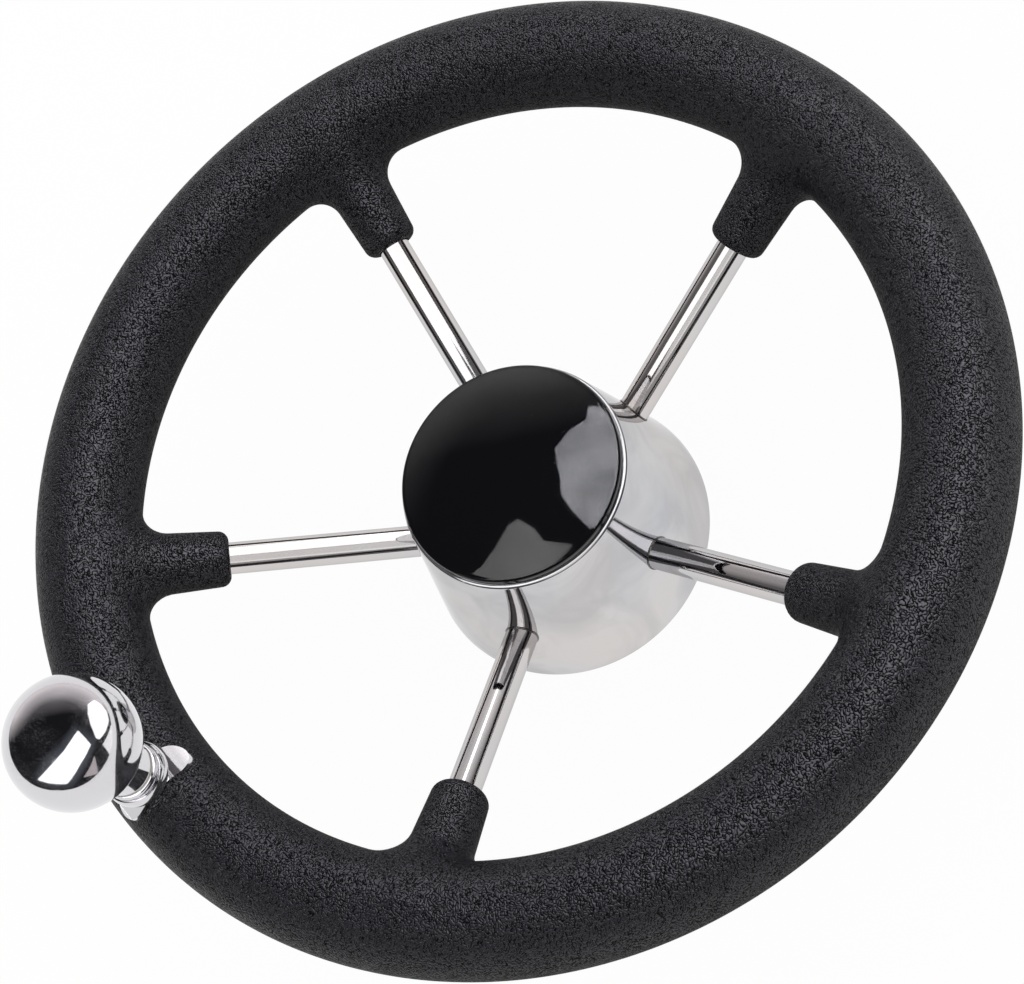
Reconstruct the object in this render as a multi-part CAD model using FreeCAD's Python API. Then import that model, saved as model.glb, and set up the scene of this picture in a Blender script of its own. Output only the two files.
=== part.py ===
import FreeCAD, Part
import math
import os

from FreeCAD import Vector

# Five-spoke dished boat steering wheel with a spinner knob, millimetres.
# The origin is on the shaft axis, in the plane of the hub's back edge. +Z points at the helmsman.
# Spoke 1 points along +Y, and the knob stands on the rim almost opposite, between spokes 3 and 4.

# Rim
wheel_diameter = 280.0
grip_diameter = 30.0
rim_height = 62.0
ring_tube_diameter = 9.5
ring_tube_wall = 1.2

# Foam sleeves that run from the rim down the spokes
sleeve_length = 21.5
sleeve_tip_diameter = 15.8
sleeve_root_diameter = 20.0
sleeve_blend = 8.0
sleeve_tip_round = 2.8

# Spokes
spoke_count = 5
spoke_diameter = 9.2
spoke_wall = 1.0
spoke_root_height = 23.6

# Hub shell: a flared cup, open at the back, with a bead rolled inwards round its mouth
hub_height = 50.0
hub_back_diameter = 85.6
hub_mouth_diameter = 66.2
hub_wall = 1.2
lip_bead_width = 1.0
lip_bead_depth = 1.8
mouth_round = 1.0
edge_round = 0.5

# Web plate and tapered shaft boss
web_height = 12.0
web_thickness = 2.5
boss_height = 36.0
boss_diameter = 27.0
boss_flange_diameter = 36.0
boss_flange_thickness = 4.0
boss_back_diameter = 31.0
taper_large_diameter = 19.05
taper_per_length = 1.0 / 12.0
keyway_width = 4.76
keyway_depth = 2.0

# Shaft nut, 5/8-18, and its washer
nut_across_flats = 23.8
nut_height = 9.5
nut_bore_diameter = 14.35
washer_diameter = 28.0
washer_hole_diameter = 16.6
washer_thickness = 2.0

# Centre cap: domed, with a spigot of snap fingers
cap_inset = 1.1
cap_edge_height = 2.9
cap_edge_round = 1.0
cap_crown = 5.6
cap_skin = 2.0
spigot_clearance = 0.2
spigot_wall = 1.8
spigot_depth = 6.5
finger_count = 6
finger_slot = 3.0
hook_reach = 0.8
hook_height = 1.6
hook_clearance = 0.2

# Knob: ball and neck, and the fittings that hold it. Heights are above the rim's centre line.
knob_angle = 268.8
ball_diameter = 34.8
ball_height = 55.3
neck_diameter = 14.6
neck_blend = 1.5
saddle_top_height = 27.4
saddle_skin = 1.8
saddle_angle = 44.6
saddle_lobe_width = 9.4
saddle_foot_diameter = 10.0
top_bead_diameter = 15.8
top_bead_height = 2.4
main_bead_diameter = 17.8
main_bead_height = 4.4
bead_bulge = 0.6
flare_height = 3.2
back_pad_diameter = 13.0
back_pad_height = 2.0

# Knob bearing
spindle_diameter = 8.0
spindle_foot_gap = 2.0
spindle_head_clearance = 0.3
spindle_head_height = 2.5
spindle_head_gap = 1.5
bush_diameter = 10.4
bush_flange_diameter = 13.6
bush_flange_thickness = 1.0
lower_bush_length = 8.5
upper_bush_length = 8.0
bush_gap = 3.9
thrust_washer_thickness = 0.9
running_clearance = 0.05
thrust_clearance = 0.1

# Knob bolt, M6, fitted from the back
bolt_diameter = 6.0
bolt_hole_clearance = 0.2
bolt_engagement = 9.0
thread_run_out = 1.5
bolt_head_diameter = 10.5
bolt_head_height = 3.3
bolt_head_edge = 0.3
bolt_socket_width = 4.0
bolt_socket_depth = 2.0
lock_washer_diameter = 11.0
lock_washer_thickness = 1.5
lock_washer_gap = 1.0

Z = Vector(0, 0, 1)
grip_radius = grip_diameter / 2
rim_radius = wheel_diameter / 2 - grip_radius
sleeve_end_radius = rim_radius - grip_radius - sleeve_length
ring_tube_radius = ring_tube_diameter / 2
spoke_radius = spoke_diameter / 2
hub_back_radius = hub_back_diameter / 2
hub_mouth_radius = hub_mouth_diameter / 2
spoke_root_radius = hub_back_radius - (hub_back_radius - hub_mouth_radius) * spoke_root_height / hub_height
spoke_rise = math.atan2(rim_height - spoke_root_height, rim_radius - spoke_root_radius)
boss_radius = boss_diameter / 2
lip_inner_radius = hub_mouth_radius - hub_wall - lip_bead_width
cap_radius = hub_mouth_radius - cap_inset
spigot_radius = lip_inner_radius - spigot_clearance
bolt_radius = bolt_diameter / 2
bolt_hole_radius = bolt_radius + bolt_hole_clearance
spindle_radius = spindle_diameter / 2
spindle_foot_height = grip_radius + spindle_foot_gap
bush_radius = bush_diameter / 2
bush_bore_radius = spindle_radius + running_clearance
neck_foot_height = saddle_top_height + thrust_clearance + bush_flange_thickness
upper_bush_height = neck_foot_height + lower_bush_length + bush_gap
upper_bush_top = upper_bush_height + upper_bush_length
spindle_head_foot = upper_bush_top + thrust_washer_thickness + thrust_clearance
spindle_head_radius = bush_radius - spindle_head_clearance
knob_turn = math.radians(knob_angle)
knob_centre = Vector(rim_radius * math.cos(knob_turn), rim_radius * math.sin(knob_turn), rim_height)
# How far the middle of a quarter arc stands in from the corner that it rounds, as a share of its radius.
corner_share = 1 - math.sqrt(0.5)
# How close two lengths are when they count as the same.
same_length = 0.01


def turned(outline, foot=Vector(0, 0, 0)):
    """Solid of revolution about the vertical line through foot.

    Each step of the outline is (radius, height), or (middle radius, middle height, radius, height) for an arc.
    """
    points = [Vector(step[-2], 0, step[-1]) for step in outline]
    edges = []
    for step, start, end in zip(outline[1:] + outline[:1], points, points[1:] + points[:1]):
        if len(step) == 4:
            edges.append(Part.Arc(start, Vector(step[0], 0, step[1]), end).toShape())
        else:
            edges.append(Part.LineSegment(start, end).toShape())
    face = Part.Face(Part.Wire(edges))
    solid = face.revolve(Vector(0, 0, 0), Z, 360)
    solid.translate(foot)
    return solid


def torus(section_radius):
    return Part.makeTorus(rim_radius, section_radius, Vector(0, 0, rim_height), Z)


def is_circle(edge, radius):
    """Whether an edge is part of a circle of the given radius."""
    round_edge = not edge.Degenerated and isinstance(edge.Curve, Part.Circle)
    return round_edge and abs(edge.Curve.Radius - radius) < same_length


def hub_outer_radius(height):
    """Radius of the hub shell's outer wall at a height."""
    return hub_back_radius - (hub_back_radius - hub_mouth_radius) * height / hub_height


def spoke_angle(index):
    return 90.0 + 360.0 * index / spoke_count


def spoke_point(radius, angle):
    """Point on a spoke's centre line at a distance from the shaft axis."""
    height = rim_height - (rim_radius - radius) * math.tan(spoke_rise)
    return Vector(radius * math.cos(angle), radius * math.sin(angle), height)


def along_spoke(index, start_radius, end_radius, start_size, end_size):
    """Round bar or cone on a spoke's centre line, between two distances from the shaft axis."""
    angle = math.radians(spoke_angle(index))
    start = spoke_point(start_radius, angle)
    run = spoke_point(end_radius, angle) - start
    if start_size == end_size:
        return Part.makeCylinder(start_size, run.Length, start, run)
    return Part.makeCone(start_size, end_size, run.Length, start, run)


def upright_bar(radius, low, high):
    """Round bar on the knob's axis, between two heights above the rim's centre line."""
    return Part.makeCylinder(radius, high - low, knob_centre + Vector(0, 0, low))


# Rim

def rim_ring():
    """Bent steel tube inside the foam, drilled through for the knob bolt."""
    ring = torus(ring_tube_radius).cut(torus(ring_tube_radius - ring_tube_wall))
    return ring.cut(upright_bar(bolt_hole_radius, -ring_tube_diameter, ring_tube_diameter))


def is_sleeve_root(edge):
    """Whether an edge is where a sleeve meets the rim's round section."""
    centre = edge.CenterOfMass
    on_section = all(
        abs(math.hypot(math.hypot(v.X, v.Y) - rim_radius, v.Z - rim_height) - grip_radius) < same_length
        for v in edge.Vertexes
    )
    return on_section and abs(centre.x) < sleeve_root_diameter / 2 and centre.y < rim_radius - sleeve_tip_diameter / 2


def grip_section():
    """One spoke's share of the foam: a stretch of rim and the tapered sleeve that it blends into."""
    share = 360.0 / spoke_count
    rim = Part.makeTorus(rim_radius, grip_radius, Vector(0, 0, rim_height), Z, 0, 360, share)
    rim.rotate(Vector(0, 0, 0), Z, spoke_angle(0) - share / 2)
    sleeve = along_spoke(
        0, sleeve_end_radius, rim_radius - ring_tube_radius,
        sleeve_tip_diameter / 2, sleeve_root_diameter / 2,
    )
    section = rim.fuse(sleeve)
    section = section.makeFillet(sleeve_blend, [edge for edge in section.Edges if is_sleeve_root(edge)])
    tip = [edge for edge in section.Edges if is_circle(edge, sleeve_tip_diameter / 2)]
    return section.makeFillet(sleeve_tip_round, tip)


def rim_grip():
    """One foam moulding: the round rim and a tapered sleeve over the outer end of each spoke."""
    sections = []
    for index in range(spoke_count):
        section = grip_section()
        section.rotate(Vector(0, 0, 0), Z, spoke_angle(index) - spoke_angle(0))
        sections.append(section)
    grip = sections[0].multiFuse(sections[1:]).removeSplitter()
    for index in range(spoke_count):
        grip = grip.cut(along_spoke(index, spoke_root_radius, rim_radius, spoke_radius, spoke_radius))
    grip = grip.cut(torus(ring_tube_radius))
    return grip.cut(upright_bar(bolt_hole_radius, -grip_diameter, grip_diameter))


# Spokes

def spoke(index):
    """Tube whose ends are coped to the hub wall and to the ring tube."""
    inner = spoke_root_radius - spoke_diameter
    tube = along_spoke(index, inner, rim_radius, spoke_radius, spoke_radius)
    bore_radius = spoke_radius - spoke_wall
    tube = tube.cut(along_spoke(index, inner - spoke_wall, rim_radius + spoke_wall, bore_radius, bore_radius))
    hub_solid = Part.makeCone(hub_back_radius, hub_mouth_radius, hub_height)
    return tube.cut(hub_solid).cut(torus(ring_tube_radius))


# Hub

def hub_shell():
    """Flared cup of even wall, with rounded edges and the bead inside its mouth."""
    bead_foot = hub_height - lip_bead_depth
    mouth_inner = hub_outer_radius(bead_foot) - hub_wall
    return turned([
        (hub_back_radius - hub_wall, 0),
        (hub_outer_radius(0) - edge_round, 0),
        (hub_outer_radius(edge_round), edge_round),
        (hub_outer_radius(hub_height - mouth_round), hub_height - mouth_round),
        (
            hub_mouth_radius - mouth_round * corner_share, hub_height - mouth_round * corner_share,
            hub_mouth_radius - mouth_round, hub_height,
        ),
        (lip_inner_radius, hub_height),
        (lip_inner_radius, bead_foot),
        (mouth_inner, bead_foot),
    ])


def hub_web():
    """Round plate welded across the shell, with the boss through its middle."""
    low_radius = hub_outer_radius(web_height) - hub_wall
    high_radius = hub_outer_radius(web_height + web_thickness) - hub_wall
    return turned([
        (boss_radius, web_height),
        (low_radius, web_height),
        (high_radius, web_height + web_thickness),
        (boss_radius, web_height + web_thickness),
    ])


def shaft_boss():
    """Turned boss with a flange under the web, a tapered bore and a keyway."""
    large = taper_large_diameter / 2
    small = large - boss_height * taper_per_length / 2
    flange_low = web_height - boss_flange_thickness
    boss = turned([
        (large, 0),
        (boss_back_diameter / 2 - edge_round, 0),
        (boss_back_diameter / 2, edge_round),
        (boss_back_diameter / 2, flange_low),
        (boss_flange_diameter / 2, flange_low),
        (boss_flange_diameter / 2, web_height),
        (boss_radius, web_height),
        (boss_radius, boss_height - edge_round),
        (boss_radius - edge_round, boss_height),
        (small, boss_height),
    ])
    keyway = Part.makeBox(
        keyway_width, large + keyway_depth, boss_height,
        Vector(-keyway_width / 2, 0, 0),
    )
    return boss.cut(keyway)


def shaft_washer():
    return turned([
        (washer_hole_diameter / 2, boss_height),
        (washer_diameter / 2, boss_height),
        (washer_diameter / 2, boss_height + washer_thickness),
        (washer_hole_diameter / 2, boss_height + washer_thickness),
    ])


def hexagon(across_flats, height, foot):
    """Six-sided bar standing on foot."""
    corner = across_flats / 2 / math.cos(math.pi / 6)
    turns = [math.pi / 3 * side for side in range(7)]
    points = [foot + Vector(corner * math.cos(turn), corner * math.sin(turn), 0) for turn in turns]
    return Part.Face(Part.makePolygon(points)).extrude(Vector(0, 0, height))


def shaft_nut():
    """Hexagon nut, its corners turned to a cone at both ends."""
    foot = Vector(0, 0, boss_height + washer_thickness)
    corner = nut_across_flats / 2 / math.cos(math.pi / 6)
    chamfer = corner - nut_across_flats / 2
    drop = chamfer * math.tan(math.pi / 6)
    blank = turned([
        (nut_bore_diameter / 2, 0),
        (nut_across_flats / 2, 0),
        (corner, drop),
        (corner, nut_height - drop),
        (nut_across_flats / 2, nut_height),
        (nut_bore_diameter / 2, nut_height),
    ], foot)
    return hexagon(nut_across_flats, nut_height, foot).common(blank)


def centre_cap():
    """Domed cap on the hub's mouth, with a slotted spigot whose hooks catch under the bead."""
    edge_top = hub_height + cap_edge_height
    crown_top = edge_top + cap_crown
    shoulder = cap_radius - cap_edge_round
    dome_radius = (shoulder ** 2 + cap_crown ** 2) / (2 * cap_crown)
    dome_centre = crown_top - dome_radius
    inner_radius = spigot_radius - spigot_wall
    inner_dome = dome_radius - cap_skin
    spigot_foot = hub_height - spigot_depth
    hook_top = hub_height - lip_bead_depth - hook_clearance
    hook_radius = spigot_radius + hook_reach

    def dome_height(radius, sphere_radius):
        return dome_centre + math.sqrt(sphere_radius ** 2 - radius ** 2)

    cap = turned([
        (0, crown_top),
        (shoulder / 2, dome_height(shoulder / 2, dome_radius), shoulder, edge_top),
        (
            cap_radius - cap_edge_round * corner_share, edge_top - cap_edge_round * corner_share,
            cap_radius, edge_top - cap_edge_round,
        ),
        (cap_radius, hub_height),
        (spigot_radius, hub_height),
        (spigot_radius, hook_top),
        (hook_radius, hook_top),
        (spigot_radius, hook_top - hook_height),
        (spigot_radius, spigot_foot),
        (inner_radius, spigot_foot),
        (inner_radius, dome_height(inner_radius, inner_dome)),
        (inner_radius / 2, dome_height(inner_radius / 2, inner_dome), 0, dome_height(0, inner_dome)),
    ])
    for finger in range(finger_count):
        slot = Part.makeBox(
            2 * hook_radius, finger_slot, spigot_depth - cap_skin / 2,
            Vector(0, -finger_slot / 2, spigot_foot),
        )
        slot.rotate(Vector(0, 0, 0), Z, 360.0 * (finger + 0.5) / finger_count)
        cap = cap.cut(slot)
    return cap


# Knob mounting

def draped_plate(pad_diameter):
    """Skin over the front of the grip: a round pad in a strip that lies across the rim, with rounded ends."""
    reach = (grip_radius + saddle_skin) * math.sin(math.radians(saddle_angle))
    lobe_radius = saddle_lobe_width / 2
    tall = grip_diameter
    plan = Part.makeCylinder(pad_diameter / 2, tall, knob_centre)
    strip = Part.makeBox(
        saddle_lobe_width, 2 * (reach - lobe_radius), tall,
        knob_centre - Vector(lobe_radius, reach - lobe_radius, 0),
    )
    plan = plan.fuse(strip)
    for side in (-1, 1):
        tip = knob_centre + Vector(0, side * (reach - lobe_radius), 0)
        plan = plan.fuse(Part.makeCylinder(lobe_radius, tall, tip))
    plan.rotate(knob_centre, Z, knob_angle - spoke_angle(0))
    return torus(grip_radius + saddle_skin).common(plan).cut(torus(grip_radius))


def knob_saddle():
    """Saddle coped to the grip, with a turned boss of two beads on a flared foot, bored for the spindle."""
    foot = saddle_foot_diameter / 2
    top_bead = top_bead_diameter / 2
    main_bead = main_bead_diameter / 2
    top_foot = saddle_top_height - top_bead_height
    main_foot = top_foot - main_bead_height
    flare_foot = main_foot - flare_height
    flare = main_bead - bead_bulge - foot
    boss = turned([
        (bolt_hole_radius, grip_radius / 2),
        (foot, grip_radius / 2),
        (foot, flare_foot),
        (foot + flare * corner_share, main_foot - flare_height * corner_share, main_bead - bead_bulge, main_foot),
        (main_bead, (main_foot + top_foot) / 2, main_bead - bead_bulge, top_foot),
        (top_bead - bead_bulge, top_foot),
        (top_bead, (top_foot + saddle_top_height) / 2, top_bead - bead_bulge, saddle_top_height),
        (spindle_radius, saddle_top_height),
        (spindle_radius, spindle_foot_height),
        (bolt_hole_radius, spindle_foot_height),
    ], knob_centre)
    saddle = boss.cut(torus(grip_radius)).fuse(draped_plate(saddle_foot_diameter))
    return saddle.cut(upright_bar(bolt_hole_radius, 0, spindle_foot_height)).removeSplitter()


def knob_back_plate():
    """Curved washer plate behind the grip, with a flat pad under the bolt head."""
    plate = draped_plate(back_pad_diameter)
    plate = plate.fuse(
        upright_bar(back_pad_diameter / 2, 0, grip_radius + saddle_skin + back_pad_height).cut(torus(grip_radius))
    )
    plate = plate.cut(upright_bar(bolt_hole_radius, 0, grip_diameter))
    return plate.mirror(knob_centre, Z).removeSplitter()


def knob_lock_washer():
    """Split spring washer between the back plate and the bolt head."""
    high = -(grip_radius + saddle_skin + back_pad_height)
    ring = upright_bar(lock_washer_diameter / 2, high - lock_washer_thickness, high)
    ring = ring.cut(upright_bar(bolt_hole_radius, high - lock_washer_thickness, high))
    split = Part.makeBox(
        lock_washer_diameter, lock_washer_gap, lock_washer_thickness,
        knob_centre + Vector(0, -lock_washer_gap / 2, high - lock_washer_thickness),
    )
    return ring.cut(split)


def knob_bolt():
    """Button-head bolt through the rim from the back, with a hexagon socket."""
    seat = -(grip_radius + saddle_skin + back_pad_height + lock_washer_thickness)
    tip = spindle_foot_height + bolt_engagement
    head_foot = seat - bolt_head_height
    head_radius = bolt_head_diameter / 2
    bolt = turned([
        (0, head_foot),
        (bolt_socket_width, head_foot),
        (head_radius - bolt_head_edge, seat - bolt_head_height / 2, head_radius, seat),
        (bolt_radius, seat),
        (bolt_radius, tip),
        (0, tip),
    ], knob_centre)
    socket = hexagon(bolt_socket_width, bolt_socket_depth, knob_centre + Vector(0, 0, head_foot))
    return bolt.cut(socket)


# Knob bearing

def knob_spindle():
    """Headed pin with a straight shank, pressed in the saddle and tapped from its foot for the bolt."""
    head_top = spindle_head_foot + spindle_head_height
    thread_top = spindle_foot_height + bolt_engagement + thread_run_out
    return turned([
        (bolt_radius, spindle_foot_height),
        (spindle_radius, spindle_foot_height),
        (spindle_radius, spindle_head_foot),
        (spindle_head_radius, spindle_head_foot),
        (spindle_head_radius, head_top),
        (0, head_top),
        (0, thread_top),
        (bolt_radius, thread_top),
    ], knob_centre)


def knob_ball():
    """Polished ball and neck, bored from below for the bushes and the spindle's head."""
    ball_radius = ball_diameter / 2
    neck_radius = neck_diameter / 2
    ball_foot = ball_height - ball_radius
    bore_top = spindle_head_foot + spindle_head_height + spindle_head_gap
    ball = turned([
        (0, ball_foot),
        (ball_radius, ball_height, 0, ball_height + ball_radius),
    ], knob_centre)
    neck = upright_bar(neck_radius, neck_foot_height, ball_height)
    knob = ball.fuse(neck)
    above_foot = rim_height + neck_foot_height + neck_blend
    joint = [edge for edge in knob.Edges if is_circle(edge, neck_radius) and edge.Curve.Center.z > above_foot]
    knob = knob.makeFillet(neck_blend, joint)
    return knob.cut(upright_bar(bush_radius, neck_foot_height, bore_top))


def knob_lower_bush():
    """Flanged bush in the neck, on which the knob turns against the saddle."""
    flange_foot = saddle_top_height + thrust_clearance
    return turned([
        (bush_bore_radius, flange_foot),
        (bush_flange_diameter / 2, flange_foot),
        (bush_flange_diameter / 2, neck_foot_height),
        (bush_radius, neck_foot_height),
        (bush_radius, neck_foot_height + lower_bush_length),
        (bush_bore_radius, neck_foot_height + lower_bush_length),
    ], knob_centre)


def knob_upper_bush():
    return turned([
        (bush_bore_radius, upper_bush_height),
        (bush_radius, upper_bush_height),
        (bush_radius, upper_bush_top),
        (bush_bore_radius, upper_bush_top),
    ], knob_centre)


def knob_thrust_washer():
    """Thin washer on the upper bush, under the spindle's head."""
    top = upper_bush_top + thrust_washer_thickness
    return turned([
        (bush_bore_radius, upper_bush_top),
        (spindle_head_radius, upper_bush_top),
        (spindle_head_radius, top),
        (bush_bore_radius, top),
    ], knob_centre)


def sub_parts():
    """Every piece of the wheel, by node name."""
    pieces = {
        "rim_grip": rim_grip(),
        "rim_ring": rim_ring(),
        "hub_shell": hub_shell(),
        "hub_web": hub_web(),
        "shaft_boss": shaft_boss(),
        "shaft_washer": shaft_washer(),
        "shaft_nut": shaft_nut(),
        "centre_cap": centre_cap(),
        "knob_saddle": knob_saddle(),
        "knob_back_plate": knob_back_plate(),
        "knob_lock_washer": knob_lock_washer(),
        "knob_bolt": knob_bolt(),
        "knob_spindle": knob_spindle(),
        "knob_ball": knob_ball(),
        "knob_lower_bush": knob_lower_bush(),
        "knob_upper_bush": knob_upper_bush(),
        "knob_thrust_washer": knob_thrust_washer(),
    }
    for index in range(spoke_count):
        pieces[f"spoke_{index + 1}"] = spoke(index)
    return pieces


os.makedirs("parts", exist_ok=True)
for node, shape in sub_parts().items():
    solids = shape.Solids
    piece = solids[0] if len(solids) == 1 else Part.makeCompound(solids)
    piece.exportStep(f"parts/{node}.step")
    box = piece.BoundBox
    print(
        f"{node}: {len(solids)} solid, {piece.Volume / 1000:.2f} cm3, valid {piece.isValid()},",
        f"z {box.ZMin:.2f} to {box.ZMax:.2f}, faces {len(piece.Faces)}",
    )
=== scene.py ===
import math

import bmesh
import bpy
import numpy as np
from mathutils import Matrix, Vector


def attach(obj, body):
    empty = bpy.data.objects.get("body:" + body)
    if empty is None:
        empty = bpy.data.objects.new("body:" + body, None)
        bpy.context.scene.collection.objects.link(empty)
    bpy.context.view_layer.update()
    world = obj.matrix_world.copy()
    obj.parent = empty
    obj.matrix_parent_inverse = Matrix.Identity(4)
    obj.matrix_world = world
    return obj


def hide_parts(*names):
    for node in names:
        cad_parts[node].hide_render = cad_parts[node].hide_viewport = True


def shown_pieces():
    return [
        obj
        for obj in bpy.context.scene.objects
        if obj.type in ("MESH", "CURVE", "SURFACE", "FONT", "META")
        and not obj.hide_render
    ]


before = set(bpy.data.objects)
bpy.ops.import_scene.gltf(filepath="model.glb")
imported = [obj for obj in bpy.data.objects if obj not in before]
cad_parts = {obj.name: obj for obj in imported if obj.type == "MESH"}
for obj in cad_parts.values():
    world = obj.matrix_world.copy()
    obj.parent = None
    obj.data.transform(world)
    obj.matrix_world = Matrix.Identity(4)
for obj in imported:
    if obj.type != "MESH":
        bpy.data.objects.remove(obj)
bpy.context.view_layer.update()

# Lengths are metres, in the frame's own axes: the origin is on the shaft axis in the plane of the
# hub's back edge, and +Z points at the helmsman.

MM = 0.001
WHEEL = "wheel"
KNOB = "knob"

# Sizes shared with the solids
RIM_RADIUS = 125 * MM
RIM_HEIGHT = 62 * MM
GRIP_RADIUS = 15 * MM
SPOKE_COUNT = 5
SPOKE_RADIUS = 4.6 * MM
SPOKE_ROOT_HEIGHT = 23.6 * MM
SLEEVE_END_RADIUS = 88.5 * MM
SLEEVE_TIP_RADIUS = 7.9 * MM
SLEEVE_ROOT_RADIUS = 10 * MM
SLEEVE_BLEND = 8 * MM
SLEEVE_TIP_ROUND = 2.8 * MM
SOCKET_GAP = 0.45 * MM
SOCKET_DEPTH = 1.2 * MM
WELD_RADIUS = 0.26 * MM
HUB_BACK_RADIUS = 42.8 * MM
HUB_MOUTH_RADIUS = 33.1 * MM
HUB_HEIGHT = 50 * MM
HUB_WALL = 1.2 * MM
HUB_BACK_ROUND = 0.5 * MM
HUB_BACK_ROUND_INSET = 0.6 * MM
HUB_BACK_CHAMFER = 0.2 * MM
HUB_LIP_WIDTH = 2.2 * MM
HUB_LIP_DEPTH = 1.8 * MM
HUB_LIP_ROUND = 1.0 * MM
CAP_SHOULDER_RADIUS = 31.0 * MM
CAP_EDGE_ROUND = 1.0 * MM
CAP_EDGE_TOP = 52.9 * MM
CAP_CROWN_RISE = 5.6 * MM
CAP_SPIGOT_OUTER = 30.7 * MM
CAP_SPIGOT_INNER = 28.9 * MM
CAP_SPIGOT_FOOT = 43.5 * MM
CAP_INSIDE_EDGE = 51 * MM
CAP_INSIDE_TOP = 56.5 * MM
BALL_RADIUS = 17.4 * MM
BALL_HEIGHT = RIM_HEIGHT + 55.3 * MM
NECK_RADIUS = 7.3 * MM
NECK_FOOT = RIM_HEIGHT + 28.5 * MM
NECK_CHAMFER = 0.3 * MM
NECK_BLEND = 1.5 * MM
BORE_RADIUS = 5.2 * MM
BORE_CHAMFER = 0.2 * MM
BORE_TOP = RIM_HEIGHT + 53.9 * MM
KNOB_ANGLE = math.radians(268.8)
KNOB_AXIS = Vector((RIM_RADIUS * math.cos(KNOB_ANGLE), RIM_RADIUS * math.sin(KNOB_ANGLE), 0))

# Camera: where the photograph was taken from
CAMERA_AIM = Vector((10.18 * MM, -3.98 * MM, RIM_HEIGHT))
CAMERA_AZIMUTH = -3.553
CAMERA_ELEVATION = 60.945
CAMERA_ROLL = 44.191
CAMERA_DISTANCE = 609.93 * MM
CAMERA_LENS = 79.849
SENSOR_WIDTH = 36

# Studio: directions are azimuth and elevation in degrees, seen from a point over the hub
STUDIO_CENTRE = Vector((0, 0, 0.08))
ROOM_RADIUS = 2.2
UMBRELLA_DISTANCE = 1.7
SHEET_DISTANCE = 1.5
NEAR_SHEET_DISTANCE = 0.6
ZENITH = (0, 89)


def hub_radius(height):
    """Outer radius of the hub's wall at a height."""
    return HUB_BACK_RADIUS - (HUB_BACK_RADIUS - HUB_MOUTH_RADIUS) * height / HUB_HEIGHT


SPOKE_ROOT_RADIUS = hub_radius(SPOKE_ROOT_HEIGHT)
SPOKE_SLOPE = (RIM_HEIGHT - SPOKE_ROOT_HEIGHT) / (RIM_RADIUS - SPOKE_ROOT_RADIUS)


# Mesh building

def add_object(name, vertices, faces, body, material, normals=None):
    """A smooth-shaded mesh that rides on a body of the frame."""
    mesh = bpy.data.meshes.new(name)
    mesh.from_pydata([tuple(v) for v in vertices], [], [tuple(f) for f in faces])
    mesh.update()
    mesh.shade_smooth()
    if normals is not None:
        mesh.normals_split_custom_set_from_vertices([tuple(n) for n in normals])
    piece = bpy.data.objects.new(name, mesh)
    bpy.context.scene.collection.objects.link(piece)
    mesh.materials.append(material)
    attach(piece, body)
    return piece


def arc(middle, radius, start, end, steps):
    """Points of a circular arc in a profile's plane, between two angles in degrees."""
    turns = np.radians(np.linspace(start, end, steps + 1))
    return [(middle[0] + radius * math.cos(t), middle[1] + radius * math.sin(t)) for t in turns]


def split_long(profile, longest):
    """The profile with its long straight runs divided."""
    points = [profile[0]]
    for start, end in zip(profile, profile[1:]):
        pieces = max(1, math.ceil(math.dist(start, end) / longest))
        for step in range(1, pieces + 1):
            share = step / pieces
            points.append(tuple(a + (b - a) * share for a, b in zip(start, end)))
    return points


def turned(name, profile, body, material, segments, foot=Vector((0, 0, 0)), closed=False):
    """Surface of revolution about the vertical line through foot. The profile is (radius, height) points."""
    count = len(profile)
    turns = 2 * math.pi * np.arange(segments) / segments
    vertices = [
        (foot.x + r * math.cos(t), foot.y + r * math.sin(t), foot.z + z)
        for r, z in profile
        for t in turns
    ]
    faces = []
    for ring in range(count if closed else count - 1):
        low = ring * segments
        high = (ring + 1) % count * segments
        for side in range(segments):
            turn = (side + 1) % segments
            faces.append((low + side, low + turn, high + turn, high + side))
    piece = add_object(name, vertices, faces, body, material)
    merge_and_mark(piece.data)
    return piece


def merge_and_mark(mesh, crisp_angle=math.radians(35)):
    """Joins points that coincide, as on the axis, and keeps edges sharper than an angle crisp."""
    work = bmesh.new()
    work.from_mesh(mesh)
    bmesh.ops.remove_doubles(work, verts=work.verts, dist=1e-7)
    bmesh.ops.dissolve_degenerate(work, edges=work.edges, dist=1e-8)
    bmesh.ops.recalc_face_normals(work, faces=work.faces)
    for edge in work.edges:
        edge.smooth = len(edge.link_faces) == 2 and edge.calc_face_angle(0) < crisp_angle
    work.to_mesh(mesh)
    work.free()


# Distance fields, for the blended forms

def rim_distance(points, section):
    """Distance to the round rim, whose section has a radius."""
    radius = np.hypot(points[:, 0], points[:, 1])
    return np.hypot(radius - RIM_RADIUS, points[:, 2] - RIM_HEIGHT) - section


def round_union(a, b, radius):
    """Union of two distances with a rolled fillet of a radius."""
    corner = np.hypot(np.maximum(radius - a, 0), np.maximum(radius - b, 0))
    return np.maximum(radius, np.minimum(a, b)) - corner


def round_overlap(a, b, radius):
    """Intersection of two distances with its edge rounded to a radius."""
    corner = np.hypot(np.maximum(radius + a, 0), np.maximum(radius + b, 0))
    return np.minimum(-radius, np.maximum(a, b)) + corner


def gradient(field, points, step=2e-5):
    """Direction in which a field grows, by differences."""
    columns = []
    for axis in range(3):
        shift = np.zeros(3)
        shift[axis] = step
        columns.append((field(points + shift) - field(points - shift)) / (2 * step))
    return np.stack(columns, axis=1)


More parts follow.
